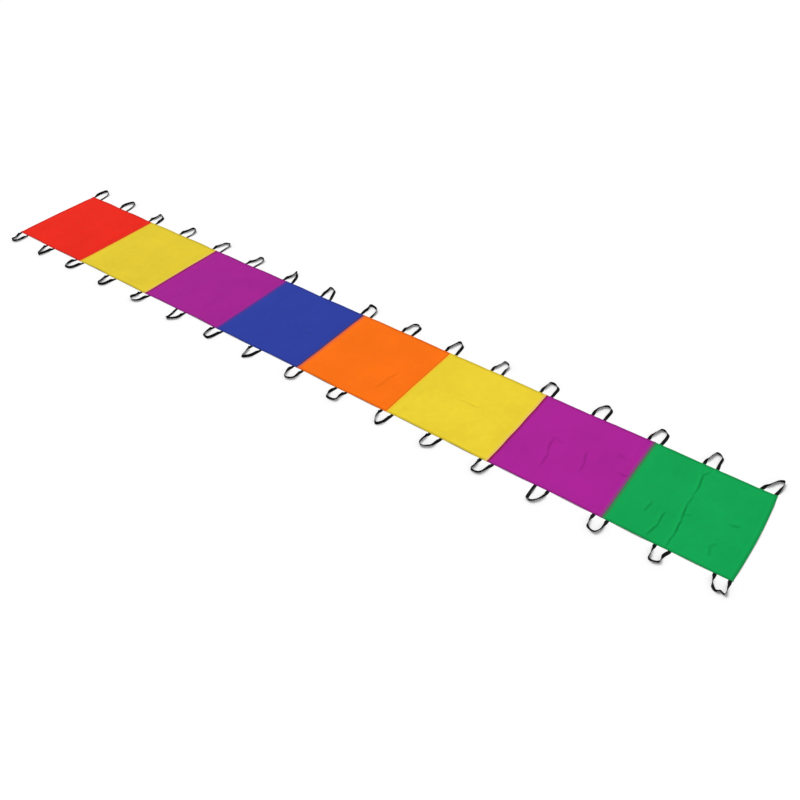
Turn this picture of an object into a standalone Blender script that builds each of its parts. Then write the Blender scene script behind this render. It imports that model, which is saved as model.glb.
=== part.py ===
"""A long play parachute, laid out flat.

Eight square cloth panels are sewn in a row. Black webbing loops are sewn into both long hems: one at each
corner, one across the end of each seam and one at the middle of each panel's edge. The loops come out of the
hem flat and turn on edge where they curve, as flat webbing does.

+X runs along the strip from the red end to the green end, +Y points to the far long edge and +Z is up.
The origin is under the middle of the strip, on the surface that it lies on.
"""

import math

import bmesh
import bpy
import numpy as np
from mathutils import Vector

# Cloth, in metres
PANEL_LENGTH = 0.9
STRIP_WIDTH = 0.9
CLOTH_THICKNESS = 0.0008
FOLDED_THICKNESS = 0.0016
HEM_WIDTH = 0.018
SEAM_ALLOWANCE = 0.012
LAYER_STEP = 0.002
SLACK_HEIGHT = 0.0035
PIECE_GAP = 0.0003
FOLD_CLEARANCE = 0.0002

# Webbing loops, in metres
WEBBING_WIDTH = 0.025
WEBBING_THICKNESS = 0.0016
WEBBING_FREE_LENGTH = 0.35
FOOT_SPAN = 0.099
FOOT_STRAIGHT = 0.006
CORNER_INSET = 0.0015

# How finely the shapes are divided
PANEL_STEPS_ALONG = 8
PANEL_STEPS_ACROSS = 8
ROUTE_STEPS = 8
WEBBING_STEPS = 30
LENGTH_HALVINGS = 40

# Slack waves: how many there are along and across a panel, and the share of a wave by which each panel's
# pattern is shifted from the last one's
WAVES_ALONG = 1.6
WAVES_ACROSS = 0.9
WAVE_SHIFT_share = 0.37

PANELS = (
    ("cloth_panel_1_red", "red_cloth"),
    ("cloth_panel_2_yellow", "yellow_cloth"),
    ("cloth_panel_3_purple", "purple_cloth"),
    ("cloth_panel_4_blue", "blue_cloth"),
    ("cloth_panel_5_orange", "orange_cloth"),
    ("cloth_panel_6_yellow", "yellow_cloth"),
    ("cloth_panel_7_purple", "purple_cloth"),
    ("cloth_panel_8_green", "green_cloth"),
)

# Base colour, roughness and metallic value
FINISHES = {
    "red_cloth": ((0.87, 0.022, 0.009), 0.62, 0.0),
    "yellow_cloth": ((0.79, 0.62, 0.035), 0.62, 0.0),
    "purple_cloth": ((0.40, 0.018, 0.31), 0.62, 0.0),
    "blue_cloth": ((0.028, 0.055, 0.38), 0.62, 0.0),
    "orange_cloth": ((0.99, 0.18, 0.006), 0.62, 0.0),
    "green_cloth": ((0.006, 0.35, 0.08), 0.62, 0.0),
    "black_webbing": ((0.009, 0.009, 0.010), 0.8, 0.0),
}

# Where along a loop its webbing has each of the three turns that the next tables give
TURN_PLACE_shares = (0.25, 0.5, 0.75)

# How each loop lies, red end first: how far its middle is from its place on the edge, how far its webbing is
# turned at three places along it, from 0 where it lies flat to 1 on edge, or -1 on edge the other way round, then
# the places that it passes through. Along the edge, places are shares of FOOT_SPAN; outwards they are shares of
# the reach, which follows from the webbing's length.
FAR_LOOP_shares = (
    (0.00, (0.35, 0.80, 0.40), ((-0.50, 0.60), (-0.32, 0.98), (0.20, 0.80))),
    (0.15, (0.35, 0.80, 0.50), ((-0.50, 0.60), (-0.25, 0.97), (0.02, 1.00), (0.38, 0.48))),
    (0.05, (0.55, 0.75, 0.20), ((-0.38, 0.53), (-0.42, 0.92), (0.26, 0.76), (0.50, 0.40))),
    (-0.05, (0.65, 0.80, 0.45), ((-0.28, 0.53), (-0.10, 0.98), (0.40, 0.87))),
    (0.05, (0.70, 0.85, 0.50), ((-0.30, 0.60), (-0.15, 0.92), (0.40, 1.00), (0.44, 0.56))),
    (-0.05, (0.60, 0.80, 0.50), ((-0.12, 0.55), (0.00, 1.04), (0.45, 1.00))),
    (0.10, (0.50, 0.85, 0.25), ((-0.25, 0.55), (-0.25, 1.12), (0.32, 0.58))),
    (0.10, (0.35, 0.95, 0.20), ((-0.52, 0.63), (-0.57, 1.03), (-0.08, 0.98), (0.28, 0.51))),
    (0.15, (0.30, 0.80, 0.80), ((-0.42, 0.62), (-0.53, 1.06), (0.25, 0.92))),
    (0.05, (0.80, 0.85, 0.30), ((-0.37, 0.57), (-0.24, 1.00), (0.17, 1.15), (0.52, 1.00))),
    (0.00, (0.85, 0.85, 0.15), ((-0.35, 0.70), (-0.10, 1.12), (0.31, 0.98), (0.47, 0.58))),
    (-0.10, (0.80, 0.85, 0.50), ((-0.34, 0.62), (-0.12, 1.15), (0.40, 0.95), (0.43, 0.51))),
    (-0.10, (0.75, 0.85, 0.50), ((-0.44, 0.65), (-0.40, 1.05), (0.22, 1.05), (0.48, 0.88))),
    (-0.10, (0.80, 0.85, 0.30), ((-0.42, 0.65), (-0.20, 0.97), (0.16, 1.10), (0.49, 0.95))),
    (-0.05, (0.80, 0.85, 0.15), ((-0.38, 0.52), (-0.10, 1.02), (0.48, 0.92), (0.57, 0.60))),
    (-0.30, (0.90, 0.80, 0.15), ((-0.37, 0.53), (-0.14, 1.02), (0.41, 0.90), (0.46, 0.45))),
    (0.00, (0.30, 0.85, 0.80), ((-0.17, 0.40), (0.22, 0.86), (0.60, 1.00), (0.60, 0.42))),
)
NEAR_LOOP_shares = (
    (0.00, (0.50, 0.80, 0.65), ((-0.13, 0.47), (0.02, 0.90), (0.48, 0.87), (0.62, 0.38))),
    (0.20, (0.60, 0.85, 0.25), ((-0.20, 0.58), (0.28, 1.03), (0.50, 0.52))),
    (0.05, (0.35, 0.85, 0.20), ((-0.56, 0.49), (-0.46, 0.88), (0.06, 0.95), (0.36, 0.78))),
    (0.10, (0.50, 0.85, 0.25), ((-0.32, 0.53), (-0.15, 0.98), (0.33, 0.90))),
    (0.15, (0.60, -0.75, 0.15), ((-0.46, 0.52), (-0.60, 0.78), (-0.28, 0.92), (0.30, 0.80))),
    (0.15, (0.30, -0.75, 0.35), ((-0.33, 0.45), (-0.15, 0.92), (0.56, 0.56))),
    (0.20, (0.70, 0.85, 0.20), ((-0.50, 0.55), (-0.48, 0.85), (0.21, 1.01))),
    (0.10, (0.75, 0.80, 0.20), ((-0.32, 0.76), (-0.12, 1.10), (0.36, 0.79))),
    (0.15, (0.15, 0.95, 0.60), ((-0.35, 0.80), (-0.04, 0.98), (0.49, 0.80))),
    (0.15, (0.10, 0.80, 0.60), ((-0.52, 0.85), (-0.26, 1.00), (0.36, 0.91), (0.38, 0.50))),
    (0.10, (0.75, 0.80, 0.15), ((-0.40, 0.70), (0.10, 1.16), (0.44, 0.81))),
    (0.05, (0.45, -0.80, 0.15), ((-0.59, 0.58), (-0.52, 0.89), (-0.29, 0.95), (0.31, 0.72))),
    (0.00, (0.20, 0.80, 0.30), ((-0.49, 0.56), (-0.52, 0.87), (0.10, 0.86), (0.36, 0.50))),
    (-0.05, (0.15, 0.80, 0.50), ((-0.47, 0.58), (-0.35, 0.98), (-0.04, 1.03), (0.48, 0.45))),
    (-0.05, (0.15, 0.95, 0.60), ((-0.49, 0.55), (-0.36, 0.80), (0.19, 0.92), (0.46, 0.62))),
    (-0.15, (0.50, -0.90, 0.15), ((-0.46, 0.67), (-0.34, 1.05), (0.28, 0.95), (0.30, 0.55))),
    (0.00, (0.30, 0.95, 0.15), ((-0.34, 0.68), (0.02, 0.92), (0.24, 0.80), (0.57, 0.88), (0.55, 0.45))),
)


def clear_scene():
    """Start from an empty file."""
    for obj in list(bpy.data.objects):
        bpy.data.objects.remove(obj, do_unlink=True)


def make_collection(name):
    """A collection linked to the scene."""
    collection = bpy.data.collections.new(name)
    bpy.context.scene.collection.children.link(collection)
    return collection


def make_material(name):
    """A Principled material with the finish of that name."""
    colour, roughness, metallic = FINISHES[name]
    material = bpy.data.materials.new(name)
    material.use_nodes = True
    shader = material.node_tree.nodes["Principled BSDF"]
    shader.inputs["Base Color"].default_value = (*colour, 1.0)
    shader.inputs["Roughness"].default_value = roughness
    shader.inputs["Metallic"].default_value = metallic
    material.diffuse_color = (*colour, 1.0)
    return material


def strip_start():
    """X of the strip's red end."""
    return -PANEL_LENGTH * len(PANELS) / 2


def seam_place(number):
    """The fold line of a seam, counted from the red end: on top for odd seams, underneath for even ones."""
    folds_up = number % 2 == 1
    height = FOLDED_THICKNESS + FOLD_CLEARANCE if folds_up else -FOLD_CLEARANCE
    return Vector((strip_start() + number * PANEL_LENGTH, 0.0, height))


def panel_origin(number):
    """Each panel turns on the seam at its green side; the last panel holds the rest and has its middle."""
    if number < len(PANELS):
        return seam_place(number)
    return Vector((strip_start() + (number - 0.5) * PANEL_LENGTH, 0.0, 0.0))


def stations(length, first_band, last_band, steps):
    """Distances along a panel's side: its folded bands at both ends and even steps between them."""
    inner = np.linspace(first_band + LAYER_STEP, length - last_band - LAYER_STEP, steps + 1)
    return np.concatenate(([0.0, first_band], inner, [length - last_band, length]))


def slack(along_share, across_share, number):
    """Height of the cloth over the floor: low waves that die away towards the hems and seams."""
    fade = math.sin(math.pi * along_share) * math.sin(math.pi * across_share)
    turns = WAVES_ALONG * along_share + WAVES_ACROSS * across_share + WAVE_SHIFT_share * number
    return SLACK_HEIGHT * fade * (1 + math.sin(math.tau * turns)) / 2


def panel_sheet(name, number):
    """The underside of a panel as an open sheet about its origin, and the vertices in its folded bands."""
    first_band = HEM_WIDTH if number == 1 else SEAM_ALLOWANCE
    last_band = HEM_WIDTH if number == len(PANELS) else SEAM_ALLOWANCE
    length = PANEL_LENGTH - PIECE_GAP
    xs = stations(length, first_band, last_band, PANEL_STEPS_ALONG)
    ys = stations(STRIP_WIDTH, HEM_WIDTH, HEM_WIDTH, PANEL_STEPS_ACROSS)
    start = Vector((strip_start() + (number - 1) * PANEL_LENGTH + PIECE_GAP / 2, -STRIP_WIDTH / 2, 0.0))
    shift = start - panel_origin(number)
    sheet = bmesh.new()
    bmesh.ops.create_grid(sheet, x_segments=len(xs) - 1, y_segments=len(ys) - 1, size=0.5)
    folded = []
    for vertex in sheet.verts:
        column = round((vertex.co.x + 0.5) * (len(xs) - 1))
        row = round((vertex.co.y + 0.5) * (len(ys) - 1))
        height = slack(xs[column] / length, ys[row] / STRIP_WIDTH, number)
        vertex.co = Vector((xs[column], ys[row], height)) + shift
        if column in (0, 1, len(xs) - 2, len(xs) - 1) or row in (0, 1, len(ys) - 2, len(ys) - 1):
            folded.append(vertex.index)
    mesh = bpy.data.meshes.new(name)
    sheet.to_mesh(mesh)
    sheet.free()
    return mesh, folded


def add_panel(collection, name, number, material, parent):
    """One cloth panel: a slack sheet given its thickness, twice as thick in its hems and seam allowances."""
    mesh, folded = panel_sheet(name, number)
    mesh.materials.append(material)
    mesh.shade_smooth()
    panel = bpy.data.objects.new(name, mesh)
    collection.objects.link(panel)
    panel.parent = parent
    panel.location = panel_origin(number) - (panel_origin(number + 1) if parent else Vector())
    bands = panel.vertex_groups.new(name="folded cloth")
    bands.add(folded, 1.0, "REPLACE")
    solidify = panel.modifiers.new("cloth", "SOLIDIFY")
    solidify.thickness = FOLDED_THICKNESS
    solidify.offset = 1.0
    solidify.vertex_group = bands.name
    solidify.thickness_vertex_group = CLOTH_THICKNESS / FOLDED_THICKNESS
    return panel


def smooth_point(points, knots, t):
    """A point on the smooth curve from the second of four points to the third."""
    level = points
    for starts, ends in (((0, 1, 2), (1, 2, 3)), ((0, 1), (2, 3)), ((1,), (2,))):
        pairs = zip(level, level[1:], starts, ends)
        level = [a.lerp(b, (t - knots[i]) / (knots[j] - knots[i])) for a, b, i, j in pairs]
    return level[0]


def route_through(points):
    """A smooth route through the points, but straight between the first two and between the last two."""
    route = [points[0], points[1]]
    for here in range(1, len(points) - 2):
        four = points[here - 1 : here + 3]
        knots = [0.0]
        for a, b in zip(four, four[1:]):
            knots.append(knots[-1] + math.sqrt((b - a).length))
        for step in range(1, ROUTE_STEPS + 1):
            t = knots[1] + (knots[2] - knots[1]) * step / ROUTE_STEPS
            route.append(smooth_point(four, knots, t))
    return route + [points[-1]]


def distances(route):
    """Distance run along the route up to each of its points."""
    run = [0.0]
    for a, b in zip(route, route[1:]):
        run.append(run[-1] + (b - a).length)
    return run


def loop_route(shape, reach):
    """The middle line of a loop's webbing, seen from above, from one foot to the other."""
    foot = FOOT_SPAN / 2
    points = [Vector((-foot, PIECE_GAP)), Vector((-foot, PIECE_GAP + FOOT_STRAIGHT))]
    points += [Vector((x * FOOT_SPAN, y * reach)) for x, y in shape]
    points += [Vector((foot, PIECE_GAP + FOOT_STRAIGHT)), Vector((foot, PIECE_GAP))]
    return route_through(points)


def fitted_route(shape):
    """The route whose length is that of the free webbing."""
    low, high = FOOT_STRAIGHT, WEBBING_FREE_LENGTH
    for _ in range(LENGTH_HALVINGS):
        middle = (low + high) / 2
        if distances(loop_route(shape, middle))[-1] < WEBBING_FREE_LENGTH:
            low = middle
        else:
            high = middle
    return loop_route(shape, low)


def even_route(route):
    """Places along the route: its two ends, and even steps between the straight runs at its feet."""
    run = distances(route)
    stops = np.linspace(FOOT_STRAIGHT, run[-1] - FOOT_STRAIGHT, WEBBING_STEPS + 1)
    stops = np.concatenate(([0.0], stops, [run[-1]]))
    xs = np.interp(stops, run, [place.x for place in route])
    ys = np.interp(stops, run, [place.y for place in route])
    return stops, xs, ys


def webbing_turn(stop, length, turn_shares):
    """How far the webbing is turned from lying flat, at a distance along its loop."""
    places = [FOOT_STRAIGHT, *(share * length for share in TURN_PLACE_shares), length - FOOT_STRAIGHT]
    turns = [0.0, *turn_shares, 0.0]
    turn = 0.0
    for start, end, before, after in zip(places, places[1:], turns, turns[1:]):
        share = min(max((stop - start) / (end - start), 0.0), 1.0)
        turn += (after - before) * share * share * (3 - 2 * share)
    return math.pi / 2 * turn


def add_loop(collection, name, shape, turn_shares, side, material):
    """One webbing loop about the middle of its hem line: flat at its feet, turned on edge where it curves."""
    stops, xs, ys = even_route(fitted_route(shape))
    curve = bpy.data.curves.new(name, "CURVE")
    curve.dimensions = "3D"
    curve.twist_mode = "Z_UP"
    curve.extrude = WEBBING_WIDTH / 2
    curve.materials.append(material)
    spline = curve.splines.new("POLY")
    spline.points.add(len(stops) - 1)
    for point, stop, x, y in zip(spline.points, stops, xs, ys):
        turn = webbing_turn(stop, stops[-1], turn_shares)
        height = (WEBBING_WIDTH * abs(math.sin(turn)) + WEBBING_THICKNESS * math.cos(turn)) / 2
        point.co = (x, side * y, height - FOLDED_THICKNESS, 1.0)
        point.tilt = math.pi / 2 - turn
    loop = bpy.data.objects.new(name, curve)
    collection.objects.link(loop)
    loop.modifiers.new("facets", "TRIANGULATE").quad_method = "SHORTEST_DIAGONAL"
    solidify = loop.modifiers.new("webbing", "SOLIDIFY")
    solidify.thickness = WEBBING_THICKNESS
    solidify.offset = 0.0
    return loop


def loop_centre(index, offset_share):
    """X of a loop's middle: half a panel apart, and at the strip's ends just inside the corner."""
    inset = (FOOT_SPAN + WEBBING_WIDTH) / 2 + CORNER_INSET
    last = 2 * len(PANELS)
    if index == 0:
        return strip_start() + inset
    if index == last:
        return -strip_start() - inset
    return strip_start() + index * PANEL_LENGTH / 2 + offset_share * FOOT_SPAN


def add_edge_loops(collection, edge, side, shares, panels, material):
    """All the loops along one long edge. A loop across a seam belongs to the panel on its green side."""
    for index, (offset_share, turn_shares, shape) in enumerate(shares):
        name = f"handle_{edge}_{index + 1:02d}"
        loop = add_loop(collection, name, shape, turn_shares, side, material)
        number = min(index // 2 + 1, len(PANELS))
        hinge = Vector((loop_centre(index, offset_share), side * STRIP_WIDTH / 2, FOLDED_THICKNESS))
        loop.parent = panels[number]
        loop.location = hinge - panel_origin(number)


def main():
    clear_scene()
    parachute = make_collection("play_parachute")
    materials = {name: make_material(name) for name in FINISHES}
    panels = {}
    for number in range(len(PANELS), 0, -1):
        name, finish = PANELS[number - 1]
        panels[number] = add_panel(parachute, name, number, materials[finish], panels.get(number + 1))
    webbing = materials["black_webbing"]
    add_edge_loops(parachute, "far", 1, FAR_LOOP_shares, panels, webbing)
    add_edge_loops(parachute, "near", -1, NEAR_LOOP_shares, panels, webbing)


main()
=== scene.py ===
"""The looks of a long play parachute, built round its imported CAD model.

Eight square cloth panels are sewn in a row. Each panel is one continuous sheet whose hems are turned under, and
a lapped seam joins it to the next one. Every row of stitching is made of single stitches. Black webbing loops run
out from under both long hems.

Lengths are in metres. +X runs from the red end to the green end, +Y points to the far long edge and +Z is up.
"""

import math

import bpy
import numpy as np
from mathutils import Matrix, Vector


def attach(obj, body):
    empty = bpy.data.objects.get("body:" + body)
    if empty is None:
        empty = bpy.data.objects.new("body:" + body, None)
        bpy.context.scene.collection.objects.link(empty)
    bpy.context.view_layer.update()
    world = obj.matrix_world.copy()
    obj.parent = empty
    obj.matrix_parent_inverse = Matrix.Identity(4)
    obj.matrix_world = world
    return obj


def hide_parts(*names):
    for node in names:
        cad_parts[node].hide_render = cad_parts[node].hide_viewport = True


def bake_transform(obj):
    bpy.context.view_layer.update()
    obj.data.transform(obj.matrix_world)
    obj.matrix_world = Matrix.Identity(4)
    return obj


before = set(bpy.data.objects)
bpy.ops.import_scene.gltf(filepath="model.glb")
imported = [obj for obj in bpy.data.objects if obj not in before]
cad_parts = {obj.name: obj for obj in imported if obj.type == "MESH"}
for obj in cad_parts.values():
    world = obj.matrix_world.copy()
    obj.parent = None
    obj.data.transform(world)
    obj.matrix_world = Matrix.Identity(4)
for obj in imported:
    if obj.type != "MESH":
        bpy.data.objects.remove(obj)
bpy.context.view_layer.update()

# The strip, as in the CAD model
PANEL = 0.9
PANELS = 8
HALF_LENGTH = PANEL * PANELS / 2
HALF_WIDTH = 0.45
HEM = 0.018
WEBBING_WIDTH = 0.025
WEBBING_THICKNESS = 0.0016
WEBBING_FREE_LENGTH = 0.35
FOOT_SPAN = 0.099
FOOT_STRAIGHT = 0.006
TURN_PLACES = (0.18, 0.34, 0.5, 0.66, 0.82)
CORNER_INSET = 0.0015
LOOP_ARCH = 0.0008
PIECE_GAP = 0.0003

# The cloth: its thickness, how far apart the middles of two layers lie, and how it is divided
CLOTH = 0.0004
LAYER = 0.0006
FLOOR_GAP = 0.0003
CLOTH_STEP = 0.008
FINE_STEPS = {6: 0.006, 7: 0.005, 8: 0.0035}
FADE_LENGTH = 0.07
NEAR_FADE_LENGTH = 0.02
HEM_PUFF = 0.0003
HEM_EASE = (HEM - 0.0015, HEM + 0.0025)

# Sewing thread
STITCH_PITCH = 0.004
STITCH_LENGTH = 0.0031
STITCH_WIDTH = 0.0005
STITCH_HEIGHT = 0.00022
STITCH_SINK = 0.4 * CLOTH
SEAM_ROW_INSET = 0.001
HEM_ROWS = (0.003, 0.0145)
SEAM_ROWS = (0.002, 0.0065)
BOX_INSET = 0.0045
BOX_LENGTH = 0.017
BOX_WIDTH = 0.019
TAIL = 0.025

# Where the cloth rises over the webbing under it: beside the webbing's edge, and before the end of its tail
WEBBING_BUMP = (0.0015, 0.006)
TAIL_BUMP = (-0.010, -0.001)

# The cloth's stations: distances from the edge or the seam, and beside a foot from the edge of its webbing
HEM_STATIONS_UNDER = (0.0168, 0.0112, 0.0056)
HEM_STATIONS_TOP = (0.0015, HEM_ROWS[0], 0.006, 0.010, HEM_ROWS[1], 0.0165, 0.0185, 0.0205, 0.026)
FOLD_STATIONS = 5
FOOT_STATIONS = (-0.0015, 0.001, 0.003, 0.0055)
FOOT_MARGIN = 0.02
STATION_GAP = 0.0012
# How far off the material of what is turned under, and of each layer of a seam, is laid out from that on top
UNDER_OFFSET = 0.05
LAYER_OFFSET = 0.1

# Lapped seams: the half width of the strip that is modelled as the seam, the half width over which it bends,
# how wide the flap is, and how far the cloth under it reaches
SEAM_HALF = 0.011
FLAP_WIDTH = 0.009
UNDERLAP = 0.0075
FLAP_EDGE = (FLAP_WIDTH - 0.001, FLAP_WIDTH + 0.0016)
FLAP_RISE = 0.004
LOWER_STATIONS = (-SEAM_HALF, -0.0085, -0.006, -FLAP_RISE, -0.003, -0.002, -0.001, 0, 0.0025, 0.005, UNDERLAP)
FLAP_STATIONS_UNDER = (0.006, 0.003)
FLAP_STATIONS_TOP = (0.001, SEAM_ROWS[0], 0.004, SEAM_ROWS[1], 0.008, 0.0092, 0.0102, SEAM_HALF)
BESIDE_STATIONS = (SEAM_HALF, 0.014, 0.019)
# For each seam, +1 if the flap belongs to the panel on its green side and -1 if it belongs to the other
FLAP_SIDES = (1, -1, -1, 1, 1, -1, -1)

# Along each seam a band of cloth is mixed with the other panel's colour and painted lighter or darker, as a
# painted highlight and painted shade beside the flap's fold. For the flap's side and for the other one: how much
# of the other colour is mixed in, how light it then is, and how far the other colour filters it
SEAM_LIGHT_AND_SHADE = (
    ((0.25, 1.15, 0.0), (0.05, 0.78, 0.0)),
    ((0.30, 1.25, 0.0), (0.00, 0.87, 0.4)),
    ((0.35, 1.00, 0.0), (0.15, 0.95, 0.0)),
    ((0.20, 0.95, 0.0), (0.06, 1.00, 0.2)),
    ((0.15, 1.15, 0.0), (0.06, 0.93, 0.1)),
    ((0.30, 1.30, 0.0), (0.00, 0.90, 0.4)),
    ((0.25, 0.76, 0.0), (0.15, 0.78, 0.0)),
)
TINT_START = 0.010
TINT_END = 0.026

PANEL_NAMES = (
    "cloth_panel_1_red",
    "cloth_panel_2_yellow",
    "cloth_panel_3_purple",
    "cloth_panel_4_blue",
    "cloth_panel_5_orange",
    "cloth_panel_6_yellow",
    "cloth_panel_7_purple",
    "cloth_panel_8_green",
)
CLOTH_COLOURS = {
    "red": (0.74, 0.016, 0.006),
    "yellow": (0.68, 0.52, 0.026),
    "purple": (0.33, 0.012, 0.25),
    "blue": (0.022, 0.042, 0.31),
    "orange": (0.84, 0.145, 0.003),
    "green": (0.003, 0.30, 0.068),
}


def tint_of(number):
    """The name of a panel's colour, counted from the red end."""
    return PANEL_NAMES[number - 1].rsplit("_", 1)[1]


# How each loop lies, red end first: how far its middle is from its place on the edge, in foot spans, and how far
# its webbing is turned at five places along it (0 is flat, 1 on edge, 2 flat again but turned over, and less than
# 0 the other way round). Then come the places that it passes through, as shares of the foot span along the edge
# and of its reach
FAR_LOOPS = (
    (0.00, (0.75, 1.00, 1.05, 0.65, 0.15), ((-0.50, 0.60), (-0.32, 0.98), (0.20, 0.80))),
    (0.15, (0.95, 1.15, 1.15, 0.70, 0.18), ((-0.50, 0.60), (-0.25, 0.97), (0.02, 1.00), (0.38, 0.48))),
    (0.05, (1.25, 1.30, 1.20, 1.45, 1.20), ((-0.38, 0.53), (-0.42, 0.92), (0.26, 0.76), (0.50, 0.40))),
    (-0.05, (1.10, 1.20, 1.10, 0.85, 0.42), ((-0.28, 0.53), (-0.10, 0.98), (0.40, 0.87))),
    (0.05, (1.25, 1.35, 1.25, 0.50, 0.35), ((-0.30, 0.60), (-0.15, 0.92), (0.40, 1.00), (0.44, 0.56))),
    (-0.05, (1.15, 1.25, 1.15, 0.75, 0.25), ((-0.12, 0.55), (0.00, 1.04), (0.45, 1.00))),
    (0.10, (1.05, 1.30, 1.00, 1.65, 1.60), ((-0.25, 0.55), (-0.25, 1.12), (0.32, 0.58))),
    (0.10, (0.75, 1.00, 1.25, 1.55, 1.60), ((-0.52, 0.63), (-0.57, 1.03), (-0.08, 0.98), (0.28, 0.51))),
    (0.15, (0.70, 0.95, 0.90, 0.75, 0.42), ((-0.42, 0.62), (-0.53, 1.06), (0.25, 0.92))),
    (0.05, (1.25, 1.30, 1.15, 1.65, 1.70), ((-0.37, 0.57), (-0.24, 1.00), (0.17, 1.15), (0.52, 1.00))),
    (0.00, (1.18, 1.25, 1.00, 1.65, 1.60), ((-0.35, 0.70), (-0.10, 1.12), (0.31, 0.98), (0.47, 0.58))),
    (-0.10, (1.20, 1.40, 1.20, 0.85, 0.30), ((-0.34, 0.62), (-0.12, 1.15), (0.40, 0.95), (0.43, 0.51))),
    (-0.10, (0.95, 1.30, 1.00, 1.70, 1.60), ((-0.44, 0.65), (-0.40, 1.05), (0.22, 1.05), (0.48, 0.88))),
    (-0.10, (0.95, 1.30, 1.10, 1.65, 1.60), ((-0.42, 0.65), (-0.20, 0.97), (0.16, 1.10), (0.49, 0.95))),
    (-0.05, (1.05, 1.30, 1.10, 1.65, 1.75), ((-0.38, 0.52), (-0.10, 1.02), (0.48, 0.92), (0.57, 0.60))),
    (-0.30, (1.12, 1.35, 1.15, 1.45, 1.50), ((-0.37, 0.53), (-0.14, 1.02), (0.41, 0.90), (0.46, 0.45))),
    (0.00, (1.05, 1.20, 1.10, 0.90, 0.40), ((-0.17, 0.40), (0.22, 0.86), (0.60, 1.00), (0.60, 0.42))),
)
NEAR_LOOPS = (
    (0.00, (-0.97, -1.40, -0.95, -0.75, -0.95), ((-0.13, 0.47), (0.02, 0.90), (0.48, 0.87), (0.62, 0.38))),
    (0.20, (-1.20, -1.20, -1.00, -0.95, -1.05), ((-0.20, 0.58), (0.28, 1.03), (0.50, 0.52))),
    (0.05, (-0.88, -1.40, -1.15, -1.10, -1.25), ((-0.56, 0.49), (-0.46, 0.88), (0.06, 0.95), (0.36, 0.78))),
    (0.10, (-1.05, -1.20, -1.05, -1.15, -1.25), ((-0.32, 0.53), (-0.15, 0.98), (0.33, 0.90))),
    (0.15, (-1.15, -0.90, -0.65, -0.80, -1.20), ((-0.46, 0.52), (-0.60, 0.78), (-0.28, 0.92), (0.30, 0.80))),
    (0.15, (0.12, 0.00, -0.85, -0.88, -1.20), ((-0.33, 0.45), (-0.15, 0.92), (0.56, 0.56))),
    (0.20, (-1.08, -1.40, -1.20, -1.20, -1.40), ((-0.50, 0.55), (-0.48, 0.85), (0.21, 1.01))),
    (0.10, (-1.20, -1.40, -1.20, -1.20, -1.45), ((-0.32, 0.76), (-0.12, 1.10), (0.36, 0.79))),
    (0.15, (-0.80, -1.25, -0.85, -0.80, -1.10), ((-0.35, 0.80), (-0.04, 0.98), (0.49, 0.80))),
    (0.15, (-0.55, -1.30, -1.10, -0.80, -1.05), ((-0.52, 0.85), (-0.26, 1.00), (0.36, 0.91), (0.38, 0.50))),
    (0.10, (-1.08, -1.08, -1.20, -1.15, -1.45), ((-0.40, 0.70), (0.10, 1.16), (0.44, 0.81))),
    (0.05, (-1.08, -1.00, -0.68, -0.85, -1.30), ((-0.59, 0.58), (-0.52, 0.89), (-0.29, 0.95), (0.31, 0.72))),
    (0.00, (-0.95, -1.10, -0.88, -0.90, -1.15), ((-0.49, 0.56), (-0.52, 0.87), (0.10, 0.86), (0.36, 0.50))),
    (-0.05, (0.28, 0.00, -0.90, -0.80, -1.08), ((-0.47, 0.58), (-0.35, 0.98), (-0.04, 1.03), (0.48, 0.45))),
    (-0.05, (-0.85, -1.25, -0.85, -0.85, -1.20), ((-0.49, 0.55), (-0.36, 0.80), (0.19, 0.92), (0.46, 0.62))),
    (-0.15, (-0.85, -1.25, -0.82, -1.00, -1.50), ((-0.46, 0.67), (-0.34, 1.05), (0.28, 0.95), (0.30, 0.55))),
    (
        0.00,
        (-0.75, -1.30, -0.85, -0.85, -1.30),
        ((-0.34, 0.68), (0.02, 0.92), (0.24, 0.80), (0.57, 0.88), (0.55, 0.45)),
    ),
)
EDGES = (("far", 1, FAR_LOOPS), ("near", -1, NEAR_LOOPS))
# The stations of a loop and of its tails, over how many stations it is smoothed, and how finely it is fitted
LOOP_STOPS = 121
TAIL_STOPS = 8
SMOOTHED = 5
ROUTE_STEPS = 8
FIT_ROUNDS = 26

# How far the cloth's free edges stand off the floor between the loops' feet: near, far, red end and green end
EDGE_LIFTS = (0.0075, 0.0030, 0.0025, 0.0060)
LIFT_WIDTH = 0.030
FOOT_CLEAR = 0.016
LIFT_RISE = 0.10
LIFT_CORNER = 0.02
LIFT_POWER = 1.6

# How far the seams, the long edges and the two ends stray from straight lines
SEAM_WAVE = 0.0018
SEAM_FINE_WAVE = 0.0005
SEAM_6_FINE_WAVE = 0.0012
SEAM_WAVE_REACH = (0.03, 0.25)
EDGE_WAVE = 0.0022
EDGE_FINE_WAVE = 0.0013
EDGE_WAVE_START = 0.2
GREEN_BOW = 0.0155
RED_BOW = 0.006
BOW_REACH = 0.5

# Slack waves of the cloth: height, waves per metre along and across, and where in its wave each starts
WAVES = (
    (0.0022, 1.37, 0.45, 0.10),
    (0.0016, -1.10, 1.60, 0.45),
    (0.0012, 3.40, 0.90, 0.70),
    (0.0007, 2.10, -3.30, 0.25),
    (0.0005, 7.30, 1.40, 0.55),
)

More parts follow.
